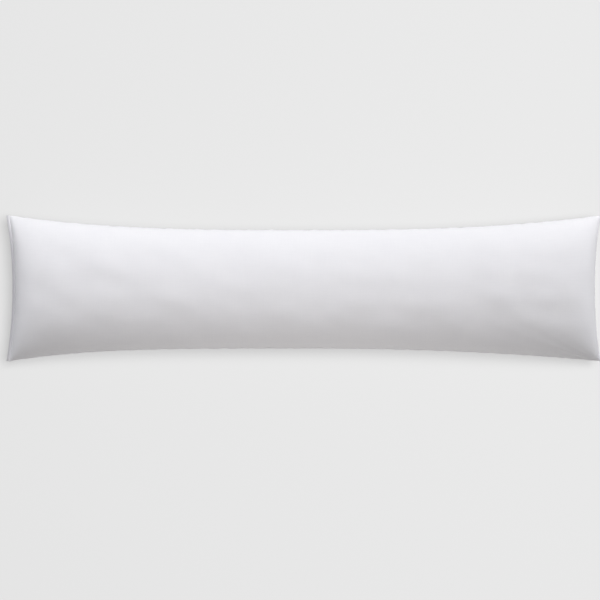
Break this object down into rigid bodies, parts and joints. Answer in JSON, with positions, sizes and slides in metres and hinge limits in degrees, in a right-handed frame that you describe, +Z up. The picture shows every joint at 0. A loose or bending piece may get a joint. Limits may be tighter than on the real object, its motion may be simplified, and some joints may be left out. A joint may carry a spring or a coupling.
{
  "type": "lumbar pillow insert",
  "caption": "Long filled lumbar pillow insert in plain white cloth, with a crowned face, drawn-in sides, pointed corners and a sewn closing lip at its left end.",
  "frame": {"origin": "middle of the pillow's outline, on the surface that it lies on", "axes": "+X along the pillow from the closed lip to the plain end, +Y across it, +Z up out of its face"},
  "size_m": [1.2, 0.294, 0.14],
  "materials": {
    "white_cloth": "matt, smooth, fine plain weave"
  },
  "bodies": {
    "root": {"pillow_insert": "white_cloth"}
  },
  "joints": []
}
